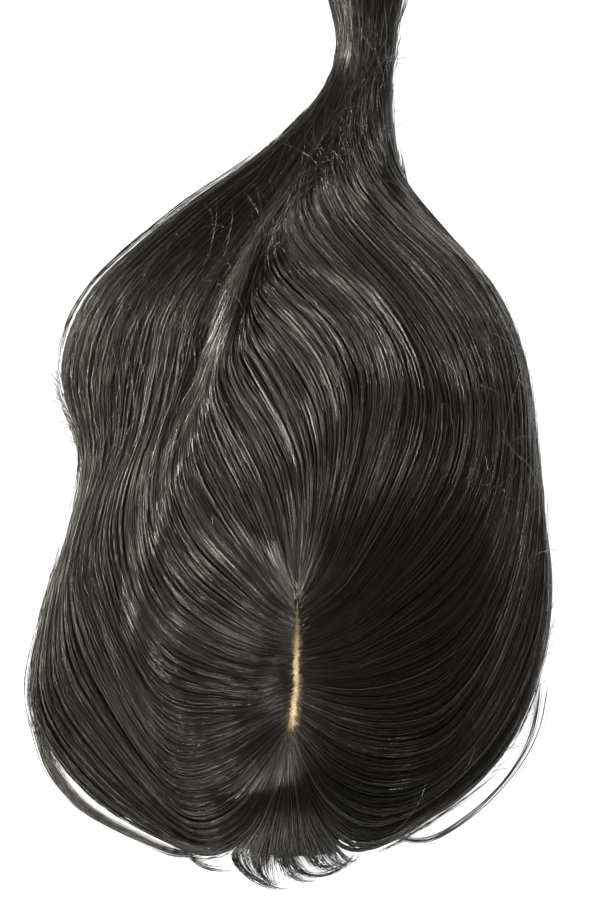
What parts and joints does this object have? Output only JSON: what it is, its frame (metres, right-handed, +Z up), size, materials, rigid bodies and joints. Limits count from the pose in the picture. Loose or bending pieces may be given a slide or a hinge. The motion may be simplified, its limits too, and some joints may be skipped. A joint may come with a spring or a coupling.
{
  "type": "toupee hairpiece",
  "caption": "Long-haired toupee laid flat: a domed cap with a hem and a scalp-coloured parting, dark hair fanning from the parting and swept into one tail.",
  "frame": {"origin": "middle of the whole's bounding box, on the surface it lies on", "axes": "+Y from the front fringe to the tail, +Z up out of the surface, +X to the wearer's left as seen from above"},
  "size_m": [0.2352, 0.4428, 0.0478],
  "materials": {
    "cap_net": "fine dark net",
    "scalp_panel": "matte silk base in a tan scalp colour",
    "hair": "near-black straight hair with a soft sheen",
    "clip_metal": "dark satin paint"
  },
  "bodies": {
    "root": {"cap_base": "cap_net", "parting_panel": "scalp_panel", "left_hair": "hair", "back_hair": "hair", "right_hair": "hair", "front_fringe": "hair", "snap_clip_right": "clip_metal", "snap_clip_back": "clip_metal", "snap_clip_left": "clip_metal", "snap_clip_front": "clip_metal"}
  },
  "joints": []
}
